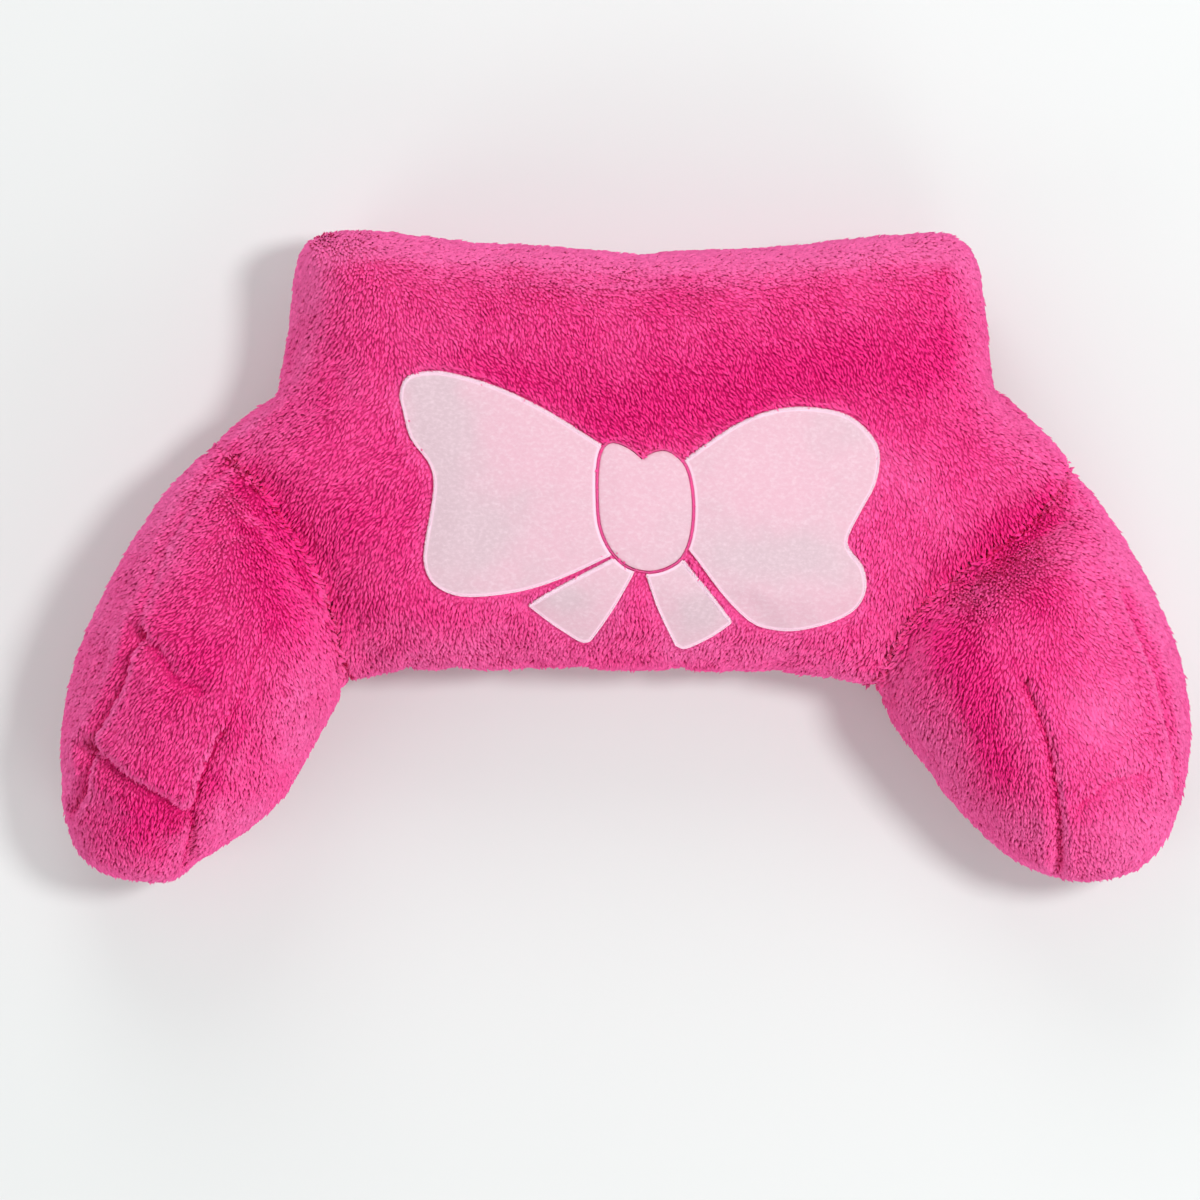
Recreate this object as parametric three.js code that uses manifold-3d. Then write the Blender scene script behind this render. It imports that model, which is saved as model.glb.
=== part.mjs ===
// Cuddle cushion: a backrest pillow with two arms, lying on its back, its face up (+Z) and its top edge
// toward +Y. Millimetres, origin under the middle of the cushion, on the surface that it lies on.
//
// One padded shape is lofted from the tip of one arm, over the back, to the tip of the other, and cut
// along the two arm seams into the three filled pieces. The bow is five pieces of velvet cut from a
// layer that follows the front of the back.

import * as THREE from "three";
import { mergeVertices } from "three/addons/utils/BufferGeometryUtils.js";
import Module from "manifold-3d";

const wasm = await Module();
wasm.setup();

// The filling: how high each part stands off the surface.
const EDGE_HEIGHT = 62; // the line all round where front and underside meet
const EDGE_BAND = 3; // height of the sewn edge itself
const BACK_CROWN = 150;
const BACK_FALL = 16; // how much lower it is at the back's own edges
const BACK_MIDDLE = 55; // where along +Y the back is fullest
const BACK_HALF_WIDTH = 250;
const BACK_HALF_HEIGHT = 170;
const ARM_FALL = 0.0034; // drop beside an arm's ridge, per mm squared
const BACK_ROUNDING = 58; // from the edge in to where the front has its full height
const ARM_ROUNDING = 78;
const UNDERSIDE_ROUNDING = 46; // from the edge in to where the underside lies flat
const ROUNDNESS = 2.2; // 2 is an ellipse, more is squarer

// The folds where the arms are sewn to the back.
const FOLD_DEPTH = 27;
const FOLD_WIDTH = 17;
const FOLD_SHARPNESS = 1.4; // 2 is a soft trough, 1 a crease
const ARM_BLEND = 34; // either side of the seam, where the back's crown becomes the arm's
const SEAM_GAP = 0.3;
const PAST_EDGE = 25; // how far the cut along a seam runs on past the cushion
const CUT_HEIGHT = 400; // a quarter of it below the surface

// The bow.
const APPLIQUE_THICKNESS = 2.4;
const APPLIQUE_LIFT = 0.4; // clear of the front
const STITCH_LANE = 2; // left free all round the knot, for the satin stitch
const EDGE_STEPS = 3; // between one point of its edge and the next

// How finely the padded shape is cut into facets.
const STEPS = [0, 0.5]; // where sections lie between two rows of the table
const STEPS_FROM_SEAM = [0, 0.1, 0.24, 0.44, 0.7]; // and beside a seam, on the side away from it
const SEAM_PULL = 4; // over how many rows the sections beside a seam bend as it does
const FACETS_ACROSS = 15;

// The plan of the cushion, from the left arm's tip to the right arm's: each row is a section from the
// outer edge (arm, shoulder, top) to the inner edge (arm, lap).
const SECTIONS = [
  { outer: [-314, -225.5], inner: [-304, -220.5] },
  { outer: [-334, -225], inner: [-294, -211] },
  { outer: [-363, -217], inner: [-281, -204] },
  { outer: [-382, -198], inner: [-269, -195.5] },
  { outer: [-390, -160], inner: [-254.5, -185.5] },
  { outer: [-388, -112], inner: [-237.5, -168.5] },
  { outer: [-378, -68], inner: [-222.5, -145] },
  { outer: [-358, -22], inner: [-208, -121] },
  { outer: [-323, 36], inner: [-197, -102] },
  { outer: [-282, 80], inner: [-189, -88], seam: "left" },
  { outer: [-260, 98], inner: [-177, -84] },
  { outer: [-243, 114], inner: [-168, -82] },
  { outer: [-233, 142], inner: [-160, -81] },
  { outer: [-229, 178], inner: [-151, -80] },
  { outer: [-224, 206], inner: [-142, -79.5] },
  { outer: [-214, 222], inner: [-131, -79] },
  { outer: [-178, 224.5], inner: [-115, -78.5] },
  { outer: [-127, 220], inner: [-90, -78.5] },
  { outer: [-65, 215.5], inner: [-50, -78.5] },
  { outer: [8, 212.5], inner: [4, -79] },
  { outer: [88, 215.5], inner: [58, -79.5] },
  { outer: [150, 220.5], inner: [94, -80.5] },
  { outer: [192, 222.5], inner: [115, -82] },
  { outer: [223, 223], inner: [127, -83] },
  { outer: [240, 209], inner: [136, -84] },
  { outer: [247, 176], inner: [144, -85] },
  { outer: [251, 142], inner: [151, -86.5] },
  { outer: [259, 114], inner: [157, -88] },
  { outer: [280, 94], inner: [163, -89.5] },
  { outer: [306, 67], inner: [170, -92], seam: "right" },
  { outer: [331, 31], inner: [179, -106] },
  { outer: [354, -6], inner: [190, -124] },
  { outer: [372.5, -44], inner: [205, -141.5] },
  { outer: [386, -82], inner: [218, -161] },
  { outer: [390, -120], inner: [232, -177] },
  { outer: [386, -160], inner: [245, -192] },
  { outer: [376, -192], inner: [257, -203] },
  { outer: [358, -215], inner: [268, -211] },
  { outer: [334, -225], inner: [279, -217] },
  { outer: [314, -226], inner: [290, -221.5] },
  { outer: [306, -225.5], inner: [298, -223.5] },
];

// Each arm: the middle of the seam that joins it to the back, from shoulder to lap, and the ridge along
// its top, from the seam to the tip, with the ridge's height as the third number.
const ARMS = {
  left: {
    side: -1,
    seam: [[-259, 60], [-234, 27], [-211, -10], [-196, -47]],
    ridge: [[-227, -16, 172], [-246, -57, 185], [-269, -112, 181], [-291, -167, 166], [-307, -215, 142]],
  },
  right: {
    side: 1,
    seam: [[285, 33], [252, 6], [222, -14], [199, -36], [181, -66]],
    ridge: [[239, -21, 172], [262, -60, 185], [284, -112, 181], [296, -167, 166], [300, -215, 142]],
  },
};

// The bow, each piece as the runs of its edge, anticlockwise, with a corner wherever a run ends. The
// loops and tails run on under the knot, which is cut out of them.
const BOW = {
  bow_left_loop: [
    [[0, 64], [-19, 74], [-50.5, 94], [-84, 110.5], [-114, 120], [-131, 122], [-146, 118.5], [-151, 107],
      [-149, 96], [-144, 77.5], [-133, 63], [-128.5, 51], [-129, 36], [-133.5, 10], [-135, -4],
      [-131.5, -16.5], [-121, -25], [-104, -28.5], [-72, -25], [-44, -16.5], [-13.5, -2.5], [0, 3.5]],
  ],
  bow_right_loop: [
    [[26, 16], [43, 2], [63, -24.5], [83, -44.5], [99, -50.5], [117, -51], [140, -45], [155, -36],
      [161, -23], [158, -8], [150, 2], [148.5, 11], [158, 30], [167, 47], [169.5, 68], [160, 84],
      [143.5, 94.5], [117, 98], [93.5, 94.5], [70, 84], [41, 64], [26, 56]],
  ],
  bow_left_tail: [
    [[0, 1], [-44, -22], [-65.5, -34.5]],
    [[-65.5, -34.5], [-50, -46.5], [-32.5, -58]],
    [[-32.5, -58], [-28, -59.5], [-23.5, -58.5]],
    [[-23.5, -58.5], [-8, -36], [6, -11], [12, 4]],
  ],
  bow_right_tail: [
    [[9, 2], [20.5, -34], [34, -61.5]],
    [[34, -61.5], [39.5, -63.8], [45.5, -62]],
    [[45.5, -62], [59, -55], [71.5, -46]],
    [[71.5, -46], [55, -25], [39.5, -6], [34, 6]],
  ],
};
const KNOT = [
  [[10.5, 63.5], [2, 70.5], [-9, 74.5], [-15.5, 69.5], [-18, 57], [-18.3, 40], [-17, 21], [-12, 7],
    [-4, -3.5], [5.5, -9.3], [16.5, -11], [27, -8.5], [36.5, -2], [42.3, 11], [44.3, 30], [42.5, 49],
    [37.5, 61.5], [27, 69], [17, 67.5], [10.5, 63.5]],
];

const smoothCurve = (points) =>
  new THREE.CatmullRomCurve3(
    points.map(([x, y, z = 0]) => new THREE.Vector3(x, y, z)),
    false,
    "centripetal",
  );

const mix = (a, b, share) => a + (b - a) * share;

// 0 at a sewn edge, 1 from `reach` inward, round in between.
function swelling(inward, reach) {
  const left = 1 - Math.min(Math.max(inward / reach, 0), 1);
  return (1 - left ** ROUNDNESS) ** (1 / ROUNDNESS);
}

// The nearest place on a line of points seen in plan: its distance, its height, and the side it is on.
function nearestOn(line, x, y) {
  let found = { distance: Infinity };
  for (let k = 1; k < line.length; k++) {
    const [a, b] = [line[k - 1], line[k]];
    const [runX, runY] = [b.x - a.x, b.y - a.y];
    const along = ((x - a.x) * runX + (y - a.y) * runY) / (runX * runX + runY * runY);
    const share = Math.min(Math.max(along, 0), 1);
    const [offX, offY] = [x - a.x - share * runX, y - a.y - share * runY];
    const distance = Math.hypot(offX, offY);
    if (distance < found.distance) {
      found = { distance, height: mix(a.z, b.z, share), side: Math.sign(runX * offY - runY * offX) };
    }
  }
  return found;
}

// Where the sections lie, counted in rows of the table: close together at the arm seams, wider elsewhere.
const stations = SECTIONS.slice(0, -1).flatMap((row, k) => {
  if (row.seam) return STEPS_FROM_SEAM.map((step) => k + step);
  if (SECTIONS[k + 1].seam) return [k, ...STEPS_FROM_SEAM.slice(1).reverse().map((step) => k + 1 - step)];
  return STEPS.map((step) => k + step);
});
stations.push(SECTIONS.length - 1);

const alongTable = (points) => {
  const curve = smoothCurve(points);
  return stations.map((station) => curve.getPoint(station / (SECTIONS.length - 1)));
};
const outerEdge = alongTable(SECTIONS.map((row) => row.outer));
const innerEdge = alongTable(SECTIONS.map((row) => row.inner));
const outline = [...outerEdge, ...innerEdge.slice().reverse(), outerEdge[0]];

const arms = Object.fromEntries(
  Object.entries(ARMS).map(([name, { side, seam, ridge }]) => {
    const row = SECTIONS.findIndex((section) => section.seam === name);
    const curve = smoothCurve([SECTIONS[row].outer, ...seam, SECTIONS[row].inner]);
    return [name, { side, row, curve, seam: curve.getPoints(28), ridge: smoothCurve(ridge).getPoints(20) }];
  }),
);

// How far a point lies past an arm's seam, on the arm, or short of it (negative), on the back.
function pastSeam(arm, x, y) {
  const { distance, side } = nearestOn(arm.seam, x, y);
  return distance * side * arm.side;
}

function frontHeight(x, y) {
  const arm = x < 0 ? arms.left : arms.right;
  const past = pastSeam(arm, x, y);
  const onArm = THREE.MathUtils.smoothstep(past, -ARM_BLEND, ARM_BLEND);
  const fromMiddle = (x / BACK_HALF_WIDTH) ** 2 + ((y - BACK_MIDDLE) / BACK_HALF_HEIGHT) ** 2;
  const backCrown = BACK_CROWN - BACK_FALL * fromMiddle;
  const ridge = nearestOn(arm.ridge, x, y);
  const armCrown = ridge.height - ARM_FALL * ridge.distance ** 2;
  const fold = FOLD_DEPTH * Math.exp(-((Math.abs(past) / FOLD_WIDTH) ** FOLD_SHARPNESS));
  const crown = mix(backCrown, armCrown, onArm) - fold;
  const inward = nearestOn(outline, x, y).distance;
  const reach = mix(BACK_ROUNDING, ARM_ROUNDING, onArm);
  return EDGE_HEIGHT + EDGE_BAND / 2 + (crown - EDGE_HEIGHT) * swelling(inward, reach);
}

function undersideHeight(x, y) {
  const inward = nearestOn(outline, x, y).distance;
  return (EDGE_HEIGHT - EDGE_BAND / 2) * (1 - swelling(inward, UNDERSIDE_ROUNDING));
}

// A closed solid through sections that each have the same number of points, front and underside.
function loft(sections) {
  const across = sections[0].length;
  const end = across - 1;
  const corner = (section, step, under) => (section * across + step) * 2 + (under ? 1 : 0);
  const places = sections.flat(2).flatMap((p) => [p.x, p.y, p.z]);
  const faces = [];
  const quad = (a, b, c, d) => faces.push(a, b, c, a, c, d);
  for (let s = 1; s < sections.length; s++) {
    for (let k = 1; k < across; k++) {
      quad(corner(s - 1, k - 1), corner(s - 1, k), corner(s, k), corner(s, k - 1));
      quad(corner(s, k - 1, 1), corner(s, k, 1), corner(s - 1, k, 1), corner(s - 1, k - 1, 1));
    }
    quad(corner(s - 1, 0, 1), corner(s - 1, 0), corner(s, 0), corner(s, 0, 1));
    quad(corner(s, end, 1), corner(s, end), corner(s - 1, end), corner(s - 1, end, 1));
  }
  const last = sections.length - 1;
  for (let k = 1; k < across; k++) {
    quad(corner(0, k - 1), corner(0, k - 1, 1), corner(0, k, 1), corner(0, k));
    quad(corner(last, k), corner(last, k, 1), corner(last, k - 1, 1), corner(last, k - 1));
  }
  return solidOf(new THREE.BufferAttribute(new Float32Array(places), 3), faces);
}

function solidOf(position, faces) {
  const mesh = new wasm.Mesh({
    numProp: 3,
    vertProperties: new Float32Array(position.array),
    triVerts: new Uint32Array(faces),
  });
  return new wasm.Manifold(mesh);
}

// A flat outline made into a tall block that cuts right through the cushion.
function block(points) {
  const tall = new THREE.ExtrudeGeometry(new THREE.Shape(points), { depth: CUT_HEIGHT, bevelEnabled: false });
  tall.translate(0, 0, -CUT_HEIGHT / 4);
  tall.deleteAttribute("normal");
  tall.deleteAttribute("uv");
  const merged = mergeVertices(tall, 1e-4);
  return solidOf(merged.attributes.position, merged.index.array);
}

// A line of points moved sideways, to its left as it runs.
function shifted(line, by) {
  return line.map((point, k) => {
    const before = line[Math.max(k - 1, 0)];
    const after = line[Math.min(k + 1, line.length - 1)];
    const along = new THREE.Vector2(after.x - before.x, after.y - before.y).normalize();
    return new THREE.Vector2(point.x - along.y * by, point.y + along.x * by);
  });
}

// The thin gap between an arm and the back, along their seam and on past both its ends.
function seamCut({ curve }) {
  const seam = curve.getPoints(40);
  seam.unshift(seam[0].clone().addScaledVector(curve.getTangent(0), -PAST_EDGE));
  seam.push(seam.at(-1).clone().addScaledVector(curve.getTangent(1), PAST_EDGE));
  return block([...shifted(seam, SEAM_GAP / 2), ...shifted(seam, -SEAM_GAP / 2).reverse()]);
}

// The edge of a piece of the bow, from its runs.
function edgeOf(runs) {
  return runs.flatMap((run) => {
    const curve = new THREE.SplineCurve(run.map(([x, y]) => new THREE.Vector2(x, y)));
    return curve.getPoints((run.length - 1) * EDGE_STEPS);
  });
}

function piece(name, solid, color, roughness) {
  const { vertProperties, triVerts } = solid.getMesh();
  const geometry = new THREE.BufferGeometry();
  geometry.setAttribute("position", new THREE.BufferAttribute(vertProperties, 3));
  geometry.setIndex(new THREE.BufferAttribute(triVerts, 1));
  geometry.computeVertexNormals();
  const mesh = new THREE.Mesh(geometry, new THREE.MeshStandardMaterial({ color, roughness, metalness: 0 }));
  mesh.name = name;
  return mesh;
}

// How much a section at a station bends to lie along the seam of a nearby arm, across its width.
function bend(station, share, straight) {
  const moved = new THREE.Vector3();
  for (const { row, curve } of Object.values(arms)) {
    const pull = THREE.MathUtils.smoothstep(1 - Math.abs(station - row) / SEAM_PULL, 0, 1);
    if (pull > 0) {
      const chord = curve.getPoint(0).lerp(curve.getPoint(1), share);
      moved.addScaledVector(curve.getPointAt(share).sub(chord), pull);
    }
  }
  return straight.clone().add(moved);
}

// The padded cushion and its three filled pieces.
const padded = loft(
  stations.map((station, s) => {
    const section = [];
    for (let k = 0; k <= FACETS_ACROSS; k++) {
      const share = (1 - Math.cos((Math.PI * k) / FACETS_ACROSS)) / 2;
      const { x, y } = bend(station, share, outerEdge[s].clone().lerp(innerEdge[s], share));
      section.push([frontHeight(x, y), undersideHeight(x, y)].map((z) => new THREE.Vector3(x, y, z)));
    }
    return section;
  }),
);
const middleOf = (solid) => (solid.boundingBox().min[0] + solid.boundingBox().max[0]) / 2;
const [leftArm, backRest, rightArm] = padded
  .subtract(seamCut(arms.left))
  .subtract(seamCut(arms.right))
  .decompose()
  .sort((a, b) => middleOf(a) - middleOf(b));

// The velvet that the bow is cut from: an even layer on the front.
const velvetLayer = padded
  .translate([0, 0, APPLIQUE_LIFT + APPLIQUE_THICKNESS])
  .subtract(padded.translate([0, 0, APPLIQUE_LIFT]));

const FLEECE = 0xe8317f;
const VELVET = 0xf0c8d4;
const cushion = new THREE.Group();
cushion.add(piece("back_rest", backRest, FLEECE, 0.95));
cushion.add(piece("left_arm", leftArm, FLEECE, 0.95));
cushion.add(piece("right_arm", rightArm, FLEECE, 0.95));

const knotEdge = edgeOf(KNOT);
const knotRoom = block(shifted(knotEdge, -STITCH_LANE));
cushion.add(piece("bow_knot", velvetLayer.intersect(block(knotEdge)), VELVET, 0.9));
for (const [name, runs] of Object.entries(BOW)) {
  const cut = block(edgeOf(runs)).subtract(knotRoom);
  cushion.add(piece(name, velvetLayer.intersect(cut), VELVET, 0.9));
}

// Bring the middle of the whole over the origin.
const reach = new THREE.Box3().setFromObject(cushion);
cushion.position.set(-(reach.min.x + reach.max.x) / 2, -(reach.min.y + reach.max.y) / 2, -reach.min.z);

export default cushion;
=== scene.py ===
"""A plush cuddle cushion with two arms and a bow sewn on its back rest, lying on its back.

Metres, +Z up. The cushion lies on z = 0 with the top of its back rest towards +Y.
"""
import math

import bmesh
import bpy
import numpy as np
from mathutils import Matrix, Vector, geometry, noise
from mathutils.bvhtree import BVHTree


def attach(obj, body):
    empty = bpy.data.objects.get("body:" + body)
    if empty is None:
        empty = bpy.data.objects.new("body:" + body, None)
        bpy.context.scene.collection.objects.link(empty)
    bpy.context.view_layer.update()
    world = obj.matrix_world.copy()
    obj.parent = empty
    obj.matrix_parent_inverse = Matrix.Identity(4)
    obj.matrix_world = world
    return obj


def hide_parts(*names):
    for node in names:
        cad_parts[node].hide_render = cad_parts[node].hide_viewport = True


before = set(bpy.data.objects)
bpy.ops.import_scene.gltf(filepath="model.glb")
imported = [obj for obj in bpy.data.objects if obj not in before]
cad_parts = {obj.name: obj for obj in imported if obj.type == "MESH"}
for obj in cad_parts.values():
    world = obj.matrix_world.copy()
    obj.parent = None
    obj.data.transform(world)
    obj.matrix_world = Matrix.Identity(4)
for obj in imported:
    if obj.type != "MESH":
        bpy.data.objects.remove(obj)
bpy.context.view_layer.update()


# ---- Camera ---------------------------------------------------------------
# It hangs straight over the cushion's face, far enough away that the arms
# hardly lean outwards.
CAMERA_PLACE = (-0.0172, -0.030, 3.0)
CAMERA_LENS = 127.8

camera_data = bpy.data.cameras.new("camera")
camera_data.sensor_width = 36.0
camera_data.lens = CAMERA_LENS
camera = bpy.data.objects.new("camera", camera_data)
camera.location = CAMERA_PLACE
bpy.context.collection.objects.link(camera)
bpy.context.scene.camera = camera
bpy.context.scene.view_settings.view_transform = "Standard"


# ---- Back rest: the filled cover --------------------------------------------
# A bag of plush fleece filled until its face crowns. Both its sides are sewn
# to an arm, so the cloth is held there and swells only between the seams.
CLOTH_GRID = 0.0060          # between the points of the cloth before it is halved
BACK_INSET = 0.0042          # the cloth starts this far in, for the pile and for the filling
ARM_INSET = 0.0056
SWELL = 0.0045               # the most that the filling moves the cloth
SEWN_NEAR = 0.0015           # cloth this near to its neighbour is sewn to it
SEWN_FADE = 0.0045           # and beyond this it is free
JOINT_REACH = 1.6 * SEWN_FADE        # the pile beside a seam differs as far as this
SEAM_SHALLOW = 0.016         # the filling bulges into the valley this near to a neighbour
SEAM_FILL = 0.80
TOP_EDGE = (0.17, 0.21)      # between these heights the stretched top edge begins, which draws in less
TOP_EDGE_HOLD = 0.65
UNDERSIDE_PRESS = 0.0008     # the pile is pressed flat where the cushion lies
PRESSURE = 4.0
PRESSURE_FRAMES = 20
CLOTH_MASS = 0.3
CLOTH_GIVE = -0.02
WALL_ROUNDS = 12             # how far the moves spread into the sewn walls, in grid steps


def fade(values, start, end):
    """0 at start and 1 at end, smooth between them."""
    part = np.clip((values - start) / (end - start), 0.0, 1.0)
    return part * part * (3.0 - 2.0 * part)


def new_object(name, mesh):
    """An object of this mesh, placed at the origin."""
    item = bpy.data.objects.new(name, mesh)
    bpy.context.collection.objects.link(item)
    return item


def rows_of(items, field, width):
    """The items' values of this field as rows of so many numbers."""
    flat = np.empty(len(items) * width, np.float32)
    items.foreach_get(field, flat)
    return flat.reshape(-1, width).astype(float)


def points_of(mesh):
    """The mesh's points as rows of x, y and z."""
    return rows_of(mesh.vertices, "co", 3)


def place_points(mesh, points):
    """Moves the mesh's points to these rows."""
    mesh.vertices.foreach_set("co", points.astype(np.float32).ravel())
    mesh.update()


def normals_of(mesh):
    """The outward direction at each point of the mesh."""
    return rows_of(mesh.vertex_normals, "vector", 3)


def unit(rows):
    """The rows as arrows of length 1."""
    return rows / np.maximum(np.linalg.norm(rows, axis=1, keepdims=True), 1e-6)


def along_surface(rows, outward):
    """The part of each arrow that runs along the surface."""
    return rows - outward * (rows * outward).sum(axis=1, keepdims=True)


def merged_solid(node):
    """A copy of a CAD solid's mesh with its loose triangles joined."""
    shell = bmesh.new()
    shell.from_mesh(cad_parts[node].data)
    bmesh.ops.remove_doubles(shell, verts=shell.verts, dist=1e-5)
    mesh = bpy.data.meshes.new(node + "_merged")
    shell.to_mesh(mesh)
    shell.free()
    return mesh


def finished_mesh(item):
    """The mesh with its modifiers worked in, which are then taken off."""
    layer = bpy.context.evaluated_depsgraph_get()
    mesh = bpy.data.meshes.new_from_object(item.evaluated_get(layer))
    item.modifiers.clear()
    item.data = mesh
    return mesh


def tree_of(mesh):
    """A search tree of the mesh's surface."""
    polygons = [tuple(face.vertices) for face in mesh.polygons]
    return BVHTree.FromPolygons([v.co for v in mesh.vertices], polygons)


def give_attribute(mesh, name, values):
    """Stores one value or arrow a point on the mesh."""
    values = np.asarray(values, np.float32)
    kind, field = ("FLOAT_VECTOR", "vector") if values.ndim == 2 else ("FLOAT", "value")
    mesh.attributes.new(name, kind, "POINT").data.foreach_set(field, values.ravel())


def values_of(mesh, name):
    """One value or arrow a point, as stored on the mesh under this name."""
    layer = mesh.attributes[name]
    if layer.data_type == "FLOAT_VECTOR":
        return rows_of(layer.data, "vector", 3)
    return rows_of(layer.data, "value", 1).ravel()


def gap_to(tree, points, outward, reach):
    """How far each point lies from the tree's surface, up to reach, and the way there."""
    gaps = np.full(len(points), reach)
    ways = np.zeros((len(points), 3))
    for row, point in enumerate(points):
        place, _, _, gap = tree.find_nearest(Vector(point), reach)
        if place is not None:
            gaps[row] = gap
            ways[row] = outward[row] if gap < 1e-5 else (np.array(place) - point) / gap
    return gaps, ways


def swollen(item, held):
    """Lets the filling press the cloth out for a moment, the held points staying where they are."""
    start = points_of(item.data)
    group = item.vertex_groups.new(name="held")
    for row in np.nonzero(held > 0.01)[0]:
        group.add([int(row)], float(held[row]), "REPLACE")
    cloth = item.modifiers.new("filling", "CLOTH")
    cloth.settings.quality = 5
    cloth.settings.mass = CLOTH_MASS
    cloth.settings.use_pressure = True
    cloth.settings.uniform_pressure_force = PRESSURE
    cloth.settings.effector_weights.gravity = 0.0
    cloth.settings.shrink_min = CLOTH_GIVE
    cloth.settings.vertex_group_mass = "held"
    cloth.point_cache.frame_start = 1
    cloth.point_cache.frame_end = PRESSURE_FRAMES
    scene = bpy.context.scene
    for number in range(1, PRESSURE_FRAMES + 1):
        scene.frame_set(number)
    layer = bpy.context.evaluated_depsgraph_get()
    moved = points_of(item.evaluated_get(layer).data) - start
    item.modifiers.clear()
    item.vertex_groups.clear()
    scene.frame_set(1)
    length = np.linalg.norm(moved, axis=1, keepdims=True)
    kept = SWELL * np.tanh(length / SWELL)
    place_points(item.data, start + moved * kept / np.maximum(length, 1e-9))


def spread_over(mesh, moves, outward, sewn):
    """Carries the moves of the open cloth into the sewn walls, along the wall but not across it."""
    ends = np.empty(len(mesh.edges) * 2, np.int32)
    mesh.edges.foreach_get("vertices", ends)
    first, second = ends.reshape(-1, 2).T
    count = len(moves)
    touching = np.bincount(first, minlength=count) + np.bincount(second, minlength=count)
    touching = np.maximum(touching, 1)
    wall = sewn > 0.5
    moves = np.where(wall[:, None], 0.0, moves)
    for _ in range(WALL_ROUNDS):
        for axis in range(3):
            total = np.bincount(first, moves[second, axis], count)
            total = total + np.bincount(second, moves[first, axis], count)
            moves[wall, axis] = (total / touching)[wall]
    across = (moves * outward).sum(axis=1, keepdims=True) * outward
    return moves - across * sewn[:, None]


def filled_cover(name, node, neighbours, inset):
    """The cloth over one filled solid, drawn in by its pile, swollen by its filling and made fine."""
    item = new_object(name, merged_solid(node))
    remesh = item.modifiers.new("remesh", "REMESH")
    remesh.mode = "VOXEL"
    remesh.voxel_size = CLOTH_GRID
    mesh = finished_mesh(item)
    points = points_of(mesh)
    outward = normals_of(mesh)
    gap = np.full(len(points), 1.0)
    way = np.zeros((len(points), 3))
    for neighbour in neighbours:
        found, found_way = gap_to(tree_of(merged_solid(neighbour)), points, outward, SEAM_SHALLOW)
        way = np.where((found < gap)[:, None], found_way, way)
        gap = np.minimum(gap, found)
    facing = (way * outward).sum(axis=1)
    sewn = 1.0 - fade(gap, SEWN_NEAR, SEWN_FADE)
    beside = (1.0 - fade(gap, SEWN_NEAR, SEAM_SHALLOW)) * fade(outward[:, 2], 0.2, 0.6)
    under = fade(-outward[:, 2], 0.6, 0.9) * (1.0 - fade(points[:, 2], 0.004, 0.016))
    top_edge = fade(points[:, 1], *TOP_EDGE)
    depth = inset * (1.0 - TOP_EDGE_HOLD * top_edge) * (1.0 - SEAM_FILL * beside)
    depth = depth * (1.0 - under) + UNDERSIDE_PRESS * under
    points = points + spread_over(mesh, -outward * depth[:, None], outward, sewn)
    points[:, 2] = np.maximum(points[:, 2], UNDERSIDE_PRESS)
    place_points(mesh, points)
    give_attribute(mesh, "wall", sewn * fade(facing, 0.70, 0.97))
    joint = 1.0 - fade(gap, SEWN_NEAR, JOINT_REACH)
    give_attribute(mesh, "joint", joint)
    give_attribute(mesh, "over_seam", way * joint[:, None])
    swollen(item, np.maximum(sewn, under))
    halve = item.modifiers.new("halve", "SUBSURF")
    halve.levels = 1
    halve.render_levels = 1
    finished_mesh(item)
    return item


back_cover = filled_cover("back_cover", "back_rest", ["left_arm", "right_arm"], BACK_INSET)
left_arm_cover = filled_cover("left_arm_cover", "left_arm", ["back_rest"], ARM_INSET)
right_arm_cover = filled_cover("right_arm_cover", "right_arm", ["back_rest"], ARM_INSET)


# ---- Seams and creases ------------------------------------------------------
# The arms are cut from an upper and an outer panel, so a seam runs along each
# ridge and another along its outer side. The soft filling folds between them.

# the cloth is a little uneven: size and height of its swells, the broadest first
WAVE_SIZES = [(0.075, 0.0016), (0.034, 0.0008), (0.013, 0.0003)]
SHOULDER_SHARE = 0.30        # the cloth beside a groove bulges by this part of its depth
SHOULDER_PLACE = 2.4         # in half widths from the groove, and how broad
SHOULDER_WIDTH = 1.3
SEAM_LINE = 0.45             # the pile parts over this part of a groove's half width
DEEP_GROOVE = 0.005          # a groove this deep parts it fully

# plan points in metres, then depth and half width of the groove
LEFT_GROOVES = [
    # the ridge seam, which gets sharper towards the tip
    ([(-0.236, -0.040), (-0.250, -0.082), (-0.268, -0.118)], 0.0016, 0.0045),
    ([(-0.268, -0.118), (-0.287, -0.160), (-0.294, -0.196), (-0.303, -0.216)], 0.0050, 0.0040),
    # the outer seam
    ([(-0.250, 0.075), (-0.298, 0.032), (-0.317, -0.024), (-0.323, -0.050)], 0.0012, 0.0040),
    ([(-0.323, -0.050), (-0.339, -0.089), (-0.354, -0.117), (-0.360, -0.127)], 0.0044, 0.0036),
    ([(-0.360, -0.127), (-0.362, -0.153), (-0.373, -0.170)], 0.0050, 0.0036),
    # folds of the soft filling
    ([(-0.323, -0.052), (-0.307, -0.067), (-0.301, -0.080), (-0.281, -0.089)], 0.0042, 0.0062),
    ([(-0.360, -0.127), (-0.345, -0.143), (-0.317, -0.160), (-0.297, -0.172)], 0.0060, 0.0054),
]
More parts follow.
